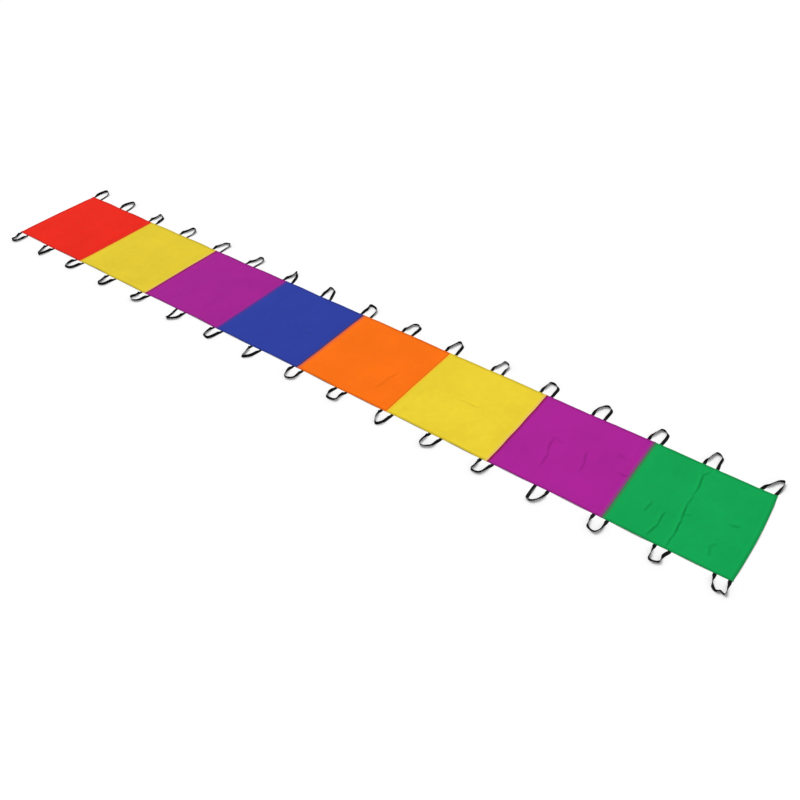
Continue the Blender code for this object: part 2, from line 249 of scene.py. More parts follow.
# Creases that the photograph shows: height, half width and the places that each passes through
CREASES = (
    (0.0065, 0.0080, ((3.150, -0.436), (3.146, -0.377), (3.143, -0.166), (3.125, -0.103), (3.120, 0.107))),
    (0.0055, 0.0080, ((3.120, 0.09), (3.118, 0.223), (3.107, 0.347), (3.136, 0.405))),
    (0.0038, 0.0075, ((3.118, 0.223), (3.111, 0.278), (3.086, 0.381))),
    (0.0036, 0.0080, ((3.122, -0.10), (3.152, -0.085), (3.180, -0.075))),
    (0.0055, 0.0080, ((3.003, -0.419), (3.022, -0.299), (3.021, -0.212), (3.027, -0.142))),
    (0.0048, 0.0095, ((2.906, -0.230), (2.908, -0.151), (2.909, -0.104))),
    (0.0046, 0.0120, ((3.391, 0.004), (3.435, 0.014), (3.473, 0.021))),
    (0.0036, 0.0110, ((3.390, -0.342), (3.374, -0.262), (3.398, -0.203))),
    (0.0042, 0.0115, ((2.135, -0.280), (2.100, -0.110), (2.057, 0.060))),
    (0.0042, 0.0115, ((2.383, -0.147), (2.332, 0.066))),
    (0.0060, 0.0125, ((2.607, 0.017), (2.640, 0.012), (2.685, 0.014))),
    (0.0042, 0.0115, ((2.520, 0.204), (2.615, 0.134))),
    (0.0032, 0.0110, ((2.046, 0.055), (2.100, 0.058), (2.159, 0.035))),
    (0.0030, 0.0095, ((2.921, 0.309), (2.939, 0.175))),
    (0.0026, 0.0095, ((2.975, 0.324), (2.999, 0.172))),
    (0.0024, 0.0090, ((3.354, 0.415), (3.399, 0.374))),
    (0.0036, 0.0100, ((1.274, 0.002), (1.365, 0.008), (1.455, 0.005))),
    (0.0028, 0.0115, ((0.656, -0.274), (0.693, -0.015))),
    (0.0040, 0.0125, ((-0.257, -0.013), (-0.177, -0.042))),
    (0.0030, 0.0115, ((-1.220, 0.295), (-1.084, 0.151))),
)

# A crease strays from its path in two waves: their shares of its half width, and how far they run in a radian.
# Each crease starts its waves further on than the one before, and its height is patchy
CREASE_WAVES = ((0.42, 0.031), (0.13, 0.0112))
CREASE_START = 0.05
CREASE_PATCH = 0.026
# A crease from side to side, in half widths: its two slopes, the dip beyond the steep one, and its lee,
# where shade is painted
STEEP_SLOPE = 0.75
GENTLE_SLOPE = 1.9
DIP_PLACE = 1.9
DIP_WIDTH = 1.1
DIP_SHARE = 0.25
LEE_PLACE = 0.6
LEE_WIDTH = 0.8


def ease(low, high, value):
    """0 below low, 1 above high and a smooth rise between them."""
    share = np.clip((value - low) / (high - low), 0.0, 1.0)
    return share * share * (3 - 2 * share)


# Where the cloth lies


def seam_x(number):
    """X of a seam's line, counted from the red end."""
    return number * PANEL - HALF_LENGTH


def loop_centre(index, offset):
    """X of a loop's middle: half a panel apart, and at the strip's ends just inside the corner."""
    inset = (FOOT_SPAN + WEBBING_WIDTH) / 2 + CORNER_INSET
    if index == 0:
        return -HALF_LENGTH + inset
    if index == 2 * PANELS:
        return HALF_LENGTH - inset
    return index * PANEL / 2 - HALF_LENGTH + offset * FOOT_SPAN


def feet_of(loops):
    """X of every foot of the loops along one edge."""
    middles = np.array([loop_centre(index, loop[0]) for index, loop in enumerate(loops)])
    return np.sort(np.concatenate((middles - FOOT_SPAN / 2, middles + FOOT_SPAN / 2)))


FEET = {side: feet_of(loops) for _, side, loops in EDGES}


def webbing_lift(x, y):
    """How far the cloth is lifted by the webbing that is sewn under its hems."""
    lift = np.zeros(np.broadcast(x, y).shape)
    for side, feet in FEET.items():
        off = np.min(np.abs(np.asarray(x)[..., None] - feet), axis=-1)
        over = 1 - ease(*WEBBING_BUMP, off - WEBBING_WIDTH / 2)
        reach = ease(*TAIL_BUMP, side * y - (HALF_WIDTH - TAIL))
        lift = np.maximum(lift, over * reach)
    return lift * WEBBING_THICKNESS


def edge_lift(x, y):
    """How far the edges stand off the floor: not at the feet of the loops, and unevenly between them."""
    x, y = np.broadcast_arrays(np.asarray(x, float), np.asarray(y, float))
    near, far, red, green = EDGE_LIFTS
    lift = np.zeros(x.shape)
    for side, height in ((-1, near), (1, far)):
        off = np.min(np.abs(x[..., None] - FEET[side]), axis=-1)
        free = ease(FOOT_CLEAR, FOOT_CLEAR + LIFT_RISE, off) * ease(0.0, LIFT_RISE, HALF_LENGTH - np.abs(x))
        uneven = 0.8 + 0.2 * np.sin(math.tau * (1.31 * x + 0.2 * side)) * np.sin(math.tau * 0.57 * x)
        edge = np.exp(-((np.maximum(HALF_WIDTH - side * y, 0.0) / LIFT_WIDTH) ** LIFT_POWER))
        lift = lift + height * free * uneven * edge
    for side, height in ((-1, red), (1, green)):
        free = ease(LIFT_CORNER, LIFT_CORNER + LIFT_RISE, HALF_WIDTH - np.abs(y))
        uneven = 0.8 + 0.2 * np.sin(math.tau * (2.3 * y + 0.3))
        edge = np.exp(-((np.maximum(HALF_LENGTH - side * x, 0.0) / LIFT_WIDTH) ** LIFT_POWER))
        lift = lift + height * free * uneven * edge
    return lift


def creases(x, y):
    """The height of the creases, steep on one side, and how near a place is to the lee of one, where shade is
    painted.
    """
    total = np.zeros(np.broadcast(x, y).shape)
    near = np.zeros(total.shape)
    for number, (height, width, path) in enumerate(CREASES):
        ends = np.array(path)
        steps = np.linalg.norm(np.diff(ends, axis=0), axis=1)
        run = np.concatenate(([0.0], np.cumsum(steps)))
        nearest = np.full(total.shape, 1e3)
        signed = np.zeros(total.shape)
        share = np.zeros(total.shape)
        for i, step in enumerate(steps):
            along = (ends[i + 1] - ends[i]) / step
            t = np.clip((x - ends[i][0]) * along[0] + (y - ends[i][1]) * along[1], 0, step)
            dx = x - ends[i][0] - along[0] * t
            dy = y - ends[i][1] - along[1] * t
            distance = np.hypot(dx, dy)
            closer = distance < nearest
            nearest = np.where(closer, distance, nearest)
            signed = np.where(closer, np.sign(along[1] * dx - along[0] * dy) * distance, signed)
            share = np.where(closer, (run[i] + t) / run[-1], share)
        travelled = share * run[-1] + CREASE_START * number
        signed = signed + width * sum(part * np.sin(travelled / length) for part, length in CREASE_WAVES)
        reach = np.where(signed > 0, STEEP_SLOPE * width, GENTLE_SLOPE * width)
        fade = np.sin(math.pi * share) ** 0.5 * (0.80 + 0.20 * np.sin(travelled / CREASE_PATCH + number))
        ridge = np.exp(-((signed / reach) ** 2))
        dip = np.exp(-(((signed - DIP_PLACE * width) / (DIP_WIDTH * width)) ** 2))
        total += height * (ridge - DIP_SHARE * dip) * fade
        # How strongly shade is painted in the crease's lee
        lee = np.exp(-(((signed - LEE_PLACE * width) / (LEE_WIDTH * width)) ** 2))
        near = np.maximum(near, lee * fade * height / CREASES[0][0])
    return total, near


def slack(x, y):
    """Height of the slack cloth over where it would lie flat. It dies away towards hems and seams."""
    to_seam = np.abs(x / PANEL - np.round(x / PANEL)) * PANEL
    fade = ease(HEM, HEM + FADE_LENGTH, HALF_WIDTH - np.abs(y))
    fade = fade * ease(SEAM_HALF, SEAM_HALF + FADE_LENGTH, to_seam)
    near_fade = ease(HEM, HEM + NEAR_FADE_LENGTH, HALF_WIDTH - np.abs(y))
    near_fade = near_fade * ease(SEAM_HALF, SEAM_HALF + NEAR_FADE_LENGTH, to_seam)
    total = 0.0
    for height, along, across, start in WAVES:
        bend = 0.22 * np.sin(math.tau * (0.61 * x - 0.83 * y + start))
        total = total + height * (1 + np.sin(math.tau * (along * x + across * y + start + bend))) / 2
    return np.maximum(total * fade + creases(x, y)[0] * near_fade, 0.0)


def seam_wander(number, y):
    """How far a seam strays from its straight line."""
    wave = SEAM_WAVE * np.sin(math.tau * (0.9 * y + 0.37 * number))
    fine = SEAM_6_FINE_WAVE if number == 6 else SEAM_FINE_WAVE
    return wave + fine * np.sin(math.tau * (3.7 * y + 0.21 * number))


def stray(x, y):
    """How far a point is moved along and across, because the cloth's edges and seams aren't quite straight."""
    along = np.zeros(np.broadcast(x, y).shape)
    for number in range(1, PANELS):
        along = along + seam_wander(number, y) * (1 - ease(*SEAM_WAVE_REACH, np.abs(x - seam_x(number))))
    bow = 1 - (y / HALF_WIDTH) ** 2
    uneven = 1 + 0.1 * y / HALF_WIDTH
    along = along + GREEN_BOW * bow * uneven * ease(HALF_LENGTH - BOW_REACH, HALF_LENGTH, x)
    along = along - RED_BOW * bow * ease(HALF_LENGTH - BOW_REACH, HALF_LENGTH, -x)
    edge = np.where(y > 0, 0.0, 0.31)
    across = EDGE_WAVE * np.sin(math.tau * (0.83 * x + edge))
    across = across + EDGE_FINE_WAVE * np.sin(math.tau * (2.3 * x + 3 * edge))
    return along, across * ease(EDGE_WAVE_START, HALF_WIDTH, np.abs(y))


def nearest_seam(x):
    """The number of the seam nearest to any X."""
    return np.clip(np.round((x + HALF_LENGTH) / PANEL), 1, PANELS - 1).astype(int)


def flap_place(x):
    """For any X: how far it is from the nearest seam, positive on the flap's side."""
    number = nearest_seam(x)
    return (x - seam_x(number)) * np.array((0, *FLAP_SIDES))[number]


def on_flap(place):
    """1 on a seam's flap and 0 beyond its sewn edge, by the distance from the seam."""
    return 1 - ease(*FLAP_EDGE, place)


def beside_flap(place):
    """How far the cloth has risen to the flap's fold, on the side away from the flap."""
    return ease(-FLAP_RISE, 0.0, place)


def top_levels(x):
    """Layers of cloth under the top one at a seam, and how many more layers there are than away from it."""
    place = flap_place(x)
    flap = on_flap(place) * (place >= 0)
    beside = beside_flap(place) * (place < 0)
    return 2 * flap, 2 * (flap + beside)


def cloth_point(x, y, end_fold=0.0, hem_fold=0.0, level=0.0, extra=0.0):
    """A point of the cloth's middle surface. end_fold and hem_fold are 1 in what is turned under there."""
    hem = 1 - ease(*HEM_EASE, HALF_WIDTH - np.abs(y))
    end = 1 - ease(*HEM_EASE, HALF_LENGTH - np.abs(x))
    layers = end * (1 - end_fold) * (1 + hem)
    layers = layers + (1 - hem_fold) * (level + hem * (1 + extra)) + hem_fold * (extra - level)
    puff = HEM_PUFF * np.sin(math.pi * np.clip((HALF_WIDTH - np.abs(y)) / HEM, 0, 1)) * (1 - hem_fold)
    along, across = stray(x, y)
    height = FLOOR_GAP + LAYER * layers + webbing_lift(x + along, y)
    height = height + slack(x, y) + edge_lift(x, y) + puff
    return np.stack(np.broadcast_arrays(x + along, y + across, height), axis=-1)


# Making meshes


def new_object(name, vertices, faces, rest, materials, face_materials=None, crease_shade=0.0, line=None):
    """A smooth mesh object. rest is what its material is laid out by: it stays put when the mesh bends."""
    mesh = bpy.data.meshes.new(name)
    mesh.from_pydata(vertices.tolist(), [], faces.tolist() if hasattr(faces, "tolist") else faces)
    attribute = mesh.attributes.new("rest", "FLOAT_VECTOR", "POINT")
    attribute.data.foreach_set("vector", np.asarray(rest, np.float32).ravel())
    # The attributes below carry painted shade in the creases' lee and painted light and shade along the seams
    if line is not None:
        attribute = mesh.attributes.new("crease_shade", "FLOAT", "POINT")
        attribute.data.foreach_set("value", np.broadcast_to(crease_shade, (len(vertices),)).astype(np.float32))
        attribute = mesh.attributes.new("seam_light_shade_colour", "FLOAT_VECTOR", "POINT")
        attribute.data.foreach_set("vector", line[:, :3].astype(np.float32).ravel())
        attribute = mesh.attributes.new("seam_light_shade_share", "FLOAT", "POINT")
        attribute.data.foreach_set("value", line[:, 3].astype(np.float32))
    for material in materials:
        mesh.materials.append(material)
    if face_materials is not None:
        mesh.polygons.foreach_set("material_index", np.asarray(face_materials, np.int32))
    mesh.shade_smooth()
    mesh.update()
    obj = bpy.data.objects.new(name, mesh)
    bpy.context.scene.collection.objects.link(obj)
    return obj


def grid_faces(columns, rows, start=0, closed=False):
    """Quads of a grid whose points are stored column by column."""
    column = np.arange(columns - 1)[:, None]
    row = np.arange(rows if closed else rows - 1)[None, :]
    above = (row + 1) % rows
    first, second = column * rows, (column + 1) * rows
    corners = (first + row, second + row, second + above, first + above)
    return np.stack([np.broadcast_to(c, (columns - 1, row.size)).ravel() for c in corners], axis=-1) + start


def hem_profile():
    """Stations from a hem's raw edge round its fold: how far in each lies and how far it is turned under."""
    radius = LAYER / 2
    under = [(place, 1.0) for place in HEM_STATIONS_UNDER]
    turns = np.linspace(math.pi, 0, FOLD_STATIONS)
    fold = [(radius - radius * math.sin(turn), (1 - math.cos(turn)) / 2) for turn in turns]
    top = [(place, 0.0) for place in HEM_STATIONS_TOP]
    return np.array(under + fold + top)


def between(low, high, step):
    """Even stations between two others, without them."""
    count = max(int(round((high - low) / step)), 1)
    return np.linspace(low, high, count + 1)[1:-1]


def rows_across(step):
    """Stations across the strip: near hem, middle and far hem, with how far each is turned under."""
    hem = hem_profile()
    inner = between(-HALF_WIDTH + hem[-1, 0], HALF_WIDTH - hem[-1, 0], step)
    ys = np.concatenate((-HALF_WIDTH + hem[:, 0], inner, HALF_WIDTH - hem[::-1, 0]))
    folds = np.concatenate((hem[:, 1], np.zeros(len(inner)), hem[::-1, 1]))
    return ys, folds


def columns_along(number, step):
    """Stations along one panel, from its seam or hem to the other, with extra ones beside each foot."""
    start, end = seam_x(number - 1), seam_x(number)
    hem = hem_profile()
    beside = np.array([(place, 0.0) for place in BESIDE_STATIONS])
    first = beside if number > 1 else hem
    last = beside if number < PANELS else hem
    low, high = start + first[-1, 0], end - last[-1, 0]
    inner = [low, *between(low, high, step), high]
    offsets = [side * (WEBBING_WIDTH / 2 + more) for side in (-1, 1) for more in FOOT_STATIONS]
    for feet in FEET.values():
        for foot in feet[(feet > low + FOOT_MARGIN) & (feet < high - FOOT_MARGIN)]:
            inner += [foot + offset for offset in offsets]
    inner = np.sort(np.array(inner))
    keep = np.concatenate(([True], np.diff(inner) > STATION_GAP))
    keep[-1] = True
    inner = inner[keep][1:-1]
    xs = np.concatenate((start + first[:, 0], inner, end - last[::-1, 0]))
    folds = np.concatenate((first[:, 1], np.zeros(len(inner)), last[::-1, 1]))
    return xs, folds


def seam_light_and_shade(number, flap_side, distance):
    """The colour of the painted highlight and shade at stations on one side of a seam, mixed with the other
    panel's colour, and how strongly it shows.
    """
    red_side = flap_side == (FLAP_SIDES[number - 1] < 0)
    own, other = (CLOTH_COLOURS[tint_of(number + i)] for i in ((0, 1) if red_side else (1, 0)))
    own, other = np.array(own), np.array(other)
    mixed, light, filtered = SEAM_LIGHT_AND_SHADE[number - 1][0 if flap_side else 1]
    colour = (own * (1 - mixed) + other * mixed) * light * other**filtered
    share = 1 - ease(TINT_START, TINT_END, np.abs(distance))
    return np.column_stack((np.tile(colour, (len(share), 1)), share))


def thicken(obj):
    """The cloth's thickness, half to each side of its middle surface."""
    solid = obj.modifiers.new("cloth thickness", "SOLIDIFY")
    solid.thickness = CLOTH
    solid.offset = 0.0
    return obj


def panel_sheet(number, material):
    """One panel between its two seams, with its hems turned under."""
    xs, end_folds = columns_along(number, FINE_STEPS.get(number, CLOTH_STEP))
    ys, hem_folds = rows_across(CLOTH_STEP)
    x, y = xs[:, None], ys[None, :]
    points = cloth_point(x, y, end_fold=end_folds[:, None], hem_fold=hem_folds[None, :])
    offset = hem_folds[None, :] * UNDER_OFFSET + end_folds[:, None] * LAYER_OFFSET
    rest = np.stack(np.broadcast_arrays(x, y, offset), axis=-1)
    faces = grid_faces(len(xs), len(ys))
    # Painted light and shade along the seams beside this panel
    line = np.zeros((len(xs), 4))
    if number > 1:
        line = seam_light_and_shade(number - 1, FLAP_SIDES[number - 2] > 0, xs - seam_x(number - 1))
    if number < PANELS:
        after = xs > seam_x(number) - PANEL / 2
        line[after] = seam_light_and_shade(number, FLAP_SIDES[number - 1] < 0, xs[after] - seam_x(number))
    line = np.repeat(line, len(ys), axis=0)
    # Painted shade in the creases' lee
    crease_shade = creases(x, y)[1].ravel()
    name = PANEL_NAMES[number - 1]
    return thicken(new_object(name, points.reshape(-1, 3), faces, rest, [material], crease_shade=crease_shade, line=line))


def seam_strip(number, cloths):
    """A lapped seam: one panel's folded edge lies over the other panel's cloth."""
    side = FLAP_SIDES[number - 1]
    radius = LAYER / 2
    lower = [(place, 0.0, 2 * float(beside_flap(place))) for place in LOWER_STATIONS]
    turns = np.linspace(math.pi, 0, FOLD_STATIONS)
    under = [(place, 1.0, 2.0) for place in FLAP_STATIONS_UNDER]
    fold = [(radius - radius * math.sin(turn), 1 + (1 + math.cos(turn)) / 2, 2.0) for turn in turns]
    shares = [float(on_flap(place)) for place in FLAP_STATIONS_TOP]
    top = [(place, 2 * share, 2 * share) for place, share in zip(FLAP_STATIONS_TOP, shares)]
    ys, hem_folds = rows_across(CLOTH_STEP)
    vertices, rests, faces, owners, lines = [], [], [], [], []
    start = 0
    flap_owner = number if side < 0 else number + 1
    for owner, path in ((2 * number + 1 - flap_owner, lower), (flap_owner, under + fold + top)):
        path = np.array(path if side > 0 else path[::-1])
        # Painted light and shade along the seam
        line = seam_light_and_shade(number, owner == flap_owner, path[:, 0])
        lines.append(np.repeat(line, len(ys), axis=0))
        x, y = (seam_x(number) + side * path[:, 0])[:, None], ys[None, :]
        points = cloth_point(x, y, hem_fold=hem_folds[None, :], level=path[:, 1:2], extra=path[:, 2:3])
        offset = hem_folds[None, :] * UNDER_OFFSET + path[:, 1:2] * LAYER_OFFSET
        rest = np.stack(np.broadcast_arrays(x, y, offset), axis=-1)
        quads = grid_faces(len(path), len(ys), start)
        start += points.shape[0] * points.shape[1]
        vertices.append(points.reshape(-1, 3))
        rests.append(rest.reshape(-1, 3))
        faces.append(quads)
        owners.append(np.full(len(quads), owner - number))
    obj = new_object(
        f"seam_{number}_{number + 1}",
        np.concatenate(vertices),
        np.concatenate(faces),
        np.concatenate(rests),
        [cloths[tint_of(number)], cloths[tint_of(number + 1)]],
        np.concatenate(owners),
        line=np.concatenate(lines),
    )
    return thicken(obj)


# Sewing thread

# A stitch's corners: its two ends, its two sides, its top and its underside
STITCH_FACES = np.array(
    [(0, 4, 2), (0, 3, 4), (1, 2, 4), (1, 4, 3), (0, 2, 5), (0, 5, 3), (1, 5, 2), (1, 3, 5)]
)


def stitches(starts, ends):
    """Vertices of raised stitches, six each, whose ends go down into the cloth."""
    along = ends - starts
    along = along / np.linalg.norm(along, axis=1, keepdims=True)
    up = np.array([[0.0, 0.0, 1.0]])
    side = np.cross(up, along) * STITCH_WIDTH / 2
    middle = (starts + ends) / 2
    top = middle + up * STITCH_HEIGHT
    sink = up * STITCH_SINK
    return np.stack((starts - sink, ends - sink, middle + side, middle - side, top, middle - sink), axis=1)


def cloth_top(x, y):
    """The upper face of the cloth at any place."""
    level, extra = top_levels(x)
    points = cloth_point(x, y, level=level, extra=extra)
    points[..., 2] += CLOTH / 2
    return points


def row_of(x0, y0, x1, y1):
    """Stitches in a straight row between two places on the strip: their two ends and where each one is."""
    length = math.hypot(x1 - x0, y1 - y0)
    count = max(int(length / STITCH_PITCH), 1)
    at = (np.arange(count) + 0.5) / count
    half = STITCH_LENGTH / 2 / length
    ends = [cloth_top(x0 + (x1 - x0) * t, y0 + (y1 - y0) * t) for t in (at - half, at + half)]
    return stitches(*ends), x0 + (x1 - x0) * at


def all_stitches():
    """Every stitch of the strip, with the X of each."""
    rows = []
    for row in HEM_ROWS:
        edge, end = HALF_WIDTH - row, HALF_LENGTH - row
        for side in (-1, 1):
            rows.append(row_of(-end, side * edge, end, side * edge))
            rows.append(row_of(side * end, -edge, side * end, edge))
    for number, side in enumerate(FLAP_SIDES, 1):
        for row in SEAM_ROWS:
            x = seam_x(number) + side * row
            rows.append(row_of(x, -HALF_WIDTH + SEAM_ROW_INSET, x, HALF_WIDTH - SEAM_ROW_INSET))
    for side, feet in FEET.items():
        far, near = side * (HALF_WIDTH - BOX_INSET), side * (HALF_WIDTH - BOX_INSET - BOX_LENGTH)
        for foot in feet:
            left, right = foot - BOX_WIDTH / 2, foot + BOX_WIDTH / 2
            corners = ((left, far), (left, near), (right, near), (right, far), (left, far), (right, near))
            for a, b in zip(corners, corners[1:]):
                rows.append(row_of(*a, *b))
            rows.append(row_of(left, near, right, far))
    return np.concatenate([r[0] for r in rows]), np.concatenate([r[1] for r in rows])


def thread_object(name, stitch_points, material):
    """Stitches as one mesh."""
    count = len(stitch_points)
    faces = (STITCH_FACES[None] + 6 * np.arange(count)[:, None, None]).reshape(-1, 3)
    points = stitch_points.reshape(-1, 3)
    return new_object(name, points, faces, points, [material])


# Webbing loops


def smooth_point(points, knots, t):
    """A point on the smooth curve from the second of four points to the third."""
    level = points
    for starts, ends in (((0, 1, 2), (1, 2, 3)), ((0, 1), (2, 3)), ((1,), (2,))):
        pairs = zip(level, level[1:], starts, ends)
        level = [a.lerp(b, (t - knots[i]) / (knots[j] - knots[i])) for a, b, i, j in pairs]
    return level[0]


def route_through(points):
    """A smooth route through the points, but straight between the first two and between the last two."""
    route = [points[0], points[1]]
    for here in range(1, len(points) - 2):
        four = points[here - 1 : here + 3]
        knots = [0.0]
        for a, b in zip(four, four[1:]):
            knots.append(knots[-1] + math.sqrt((b - a).length))
        for step in range(1, ROUTE_STEPS + 1):
            route.append(smooth_point(four, knots, knots[1] + (knots[2] - knots[1]) * step / ROUTE_STEPS))
    return route + [points[-1]]


def loop_route(shape, reach):
    """The middle line of a loop's webbing, seen from above, from one foot to the other."""
    foot = FOOT_SPAN / 2
    points = [Vector((-foot, PIECE_GAP)), Vector((-foot, PIECE_GAP + FOOT_STRAIGHT))]
    points += [Vector((x * FOOT_SPAN, y * reach)) for x, y in shape]
    points += [Vector((foot, PIECE_GAP + FOOT_STRAIGHT)), Vector((foot, PIECE_GAP))]
    return route_through(points)


def run_along(route):
    """Distance run along the route up to each of its points."""
    steps = [(b - a).length for a, b in zip(route, route[1:])]
    return np.concatenate(([0.0], np.cumsum(steps)))


def fitted_route(shape):
    """The route whose length is that of the free webbing."""
    low, high = FOOT_STRAIGHT, WEBBING_FREE_LENGTH
    for _ in range(FIT_ROUNDS):
        middle = (low + high) / 2
        if run_along(loop_route(shape, middle))[-1] < WEBBING_FREE_LENGTH:
            low = middle
        else:
            high = middle
    return loop_route(shape, low)


def webbing_section():
    """The outline across the webbing: a flat band, a little thicker along its two woven edges."""
    half, thick = WEBBING_WIDTH / 2, WEBBING_THICKNESS / 2
    left = [(-0.97, 0.72), (-0.86, 1.0), (-0.70, 0.86), (-0.35, 0.90)]
    top = left + [(0.0, 0.92)] + [(-a, b) for a, b in left[::-1]]
    outline = [(-1.0, 0.0)] + top + [(1.0, 0.0)] + [(a, -b) for a, b in top[::-1]]
    return np.array([(a * half, b * thick) for a, b in outline])


def webbing_turn(stops, length, turns):
    """How far the webbing is turned from flat along the loop. At its second foot it is flat, either way up."""
    places = [FOOT_STRAIGHT, *(place * length for place in TURN_PLACES), length - FOOT_STRAIGHT]
    values = [0.0, *turns, 2.0 * round(turns[-1] / 2)]
    turn = np.where(stops > length / 2, values[-1], 0.0)
    for i, (low, high) in enumerate(zip(places, places[1:])):
        here = (stops > low) & (stops <= high)
        turn[here] = values[i] + (values[i + 1] - values[i]) * ease(low, high, stops[here])
    return math.pi / 2 * turn


def webbing_loop(name, shape, turns, centre, side, material):
    """One loop: two flat tails under the hem, and the free webbing, which turns on edge where it curves."""
    route = fitted_route(shape)
    run = run_along(route)
    stops = np.linspace(0.0, run[-1], LOOP_STOPS)
    xs = np.interp(stops, run, [p.x for p in route])
    ys = np.interp(stops, run, [p.y for p in route])
    kept = slice(SMOOTHED - 1, 1 - SMOOTHED)
    for values in (xs, ys):
        values[kept] = np.convolve(values, np.ones(SMOOTHED) / SMOOTHED, "same")[kept]
    tail = np.linspace(-TAIL, 0, TAIL_STOPS + 1)[:-1]
    foot = FOOT_SPAN / 2
    xs = np.concatenate((np.full(TAIL_STOPS, -foot), xs, np.full(TAIL_STOPS, foot)))
    ys = np.concatenate((tail + PIECE_GAP, ys, tail[::-1] + PIECE_GAP))
    stops = np.concatenate((tail, stops, stops[-1] - tail[::-1]))
    turn = webbing_turn(stops, run[-1], turns)
    tangent = np.gradient(np.stack((xs, ys), axis=1), axis=0)
    tangent /= np.linalg.norm(tangent, axis=1, keepdims=True)
    normal = np.stack((-tangent[:, 1], tangent[:, 0]), axis=1)
    flat, upright = np.cos(turn), np.sin(turn)
    across = np.stack((normal[:, 0] * flat, side * normal[:, 1] * flat, side * upright), axis=1)
    along = np.stack((tangent[:, 0], side * tangent[:, 1], np.zeros(len(xs))), axis=1)
    through = np.cross(along, across)
    height = (WEBBING_WIDTH * np.abs(upright) + WEBBING_THICKNESS * np.abs(flat)) / 2
    height = height + LOOP_ARCH * np.sin(math.pi * np.clip(stops / run[-1], 0.0, 1.0)) ** 2
    middle = np.stack((centre + xs, side * (HALF_WIDTH + ys), height), axis=1)
    section = webbing_section()
    rings = middle[:, None] + across[:, None] * section[None, :, :1] + through[:, None] * section[None, :, 1:]
    rest = np.stack(np.broadcast_arrays(stops[:, None], section[None, :, 0], section[None, :, 1]), axis=-1)
    count = len(section)
    faces = grid_faces(len(xs), count, closed=True).tolist()
    faces.append(list(range(count))[::-1])
    faces.append([(len(xs) - 1) * count + i for i in range(count)])
    if side < 0:
        faces = [face[::-1] for face in faces]
    return new_object(name, rings.reshape(-1, 3), faces, rest, [material])


# Materials

WEBBING_COLOUR = (0.0045, 0.0045, 0.005)
# How far apart the cloth's threads, the webbing's ribs and threads, and the twists of the sewing thread lie
WEAVE_PITCH = 0.0009
RIB_PITCH = 0.0018
RIB_SLANT_PITCH = 0.0022
RIB_BAND = 0.0033
WARP_PITCH = 0.0016
TWIST_PITCH = 0.0007


class Tree:
    """Builds a node material step by step."""

    def __init__(self, name):
        self.material = bpy.data.materials.new(name)
        self.material.use_nodes = True
        self.nodes = self.material.node_tree.nodes
        self.links = self.material.node_tree.links
        self.shader = self.nodes["Principled BSDF"]

    def put(self, socket, value):
        if isinstance(value, bpy.types.NodeSocket):
            self.links.new(value, socket)
        else:
            socket.default_value = value

    def surface(self, name, value):
        self.put(self.shader.inputs[name], value)

    def add(self, kind, inputs=(), **settings):
        node = self.nodes.new(kind)
        for key, value in settings.items():
            setattr(node, key, value)
        for key, value in dict(inputs).items():
            self.put(node.inputs[key], value)
        return node

    def math(self, operation, a, b=0.0, c=0.0):
        node = self.add("ShaderNodeMath", operation=operation)
        for socket, value in zip(node.inputs, (a, b, c)):
            self.put(socket, value)
        return node.outputs[0]

    def attribute(self, name, output="Vector"):
        node = self.add("ShaderNodeAttribute", attribute_name=name, attribute_type="GEOMETRY")
        return node.outputs[output]

    def separate(self, vector):
        return self.add("ShaderNodeSeparateXYZ", {"Vector": vector}).outputs

    def grey(self, value):
        return self.add("ShaderNodeCombineColor", {0: value, 1: value, 2: value}).outputs[0]

    def wave(self, value, pitch):
        return self.math("SINE", self.math("MULTIPLY", value, math.tau / pitch))

    def noise(self, vector, scale, detail=2.0, roughness=0.5):
        inputs = {"Vector": vector, "Scale": scale, "Detail": detail, "Roughness": roughness}
        return self.add("ShaderNodeTexNoise", inputs).outputs[0]

    def spread(self, value, low, high, to_low=0.0, to_high=1.0, way="LINEAR"):
        inputs = {0: value, 1: low, 2: high, 3: to_low, 4: to_high}
        return self.add("ShaderNodeMapRange", inputs, interpolation_type=way).outputs[0]

    def mix(self, kind, factor, a, b):
        node = self.add("ShaderNodeMix", data_type="RGBA", blend_type=kind)
        self.put(node.inputs[0], factor)
        self.put(node.inputs[6], a)
        self.put(node.inputs[7], b)
        return node.outputs[2]

    def stretched(self, vector, x, y, z):
        return self.add("ShaderNodeVectorMath", {0: vector, 1: (x, y, z)}, operation="MULTIPLY").outputs[0]

    def bump(self, height, distance, strength, normal=None):
        inputs = {"Height": height, "Distance": distance, "Strength": strength}
        if normal is not None:
            inputs["Normal"] = normal
        return self.add("ShaderNodeBump", inputs).outputs[0]


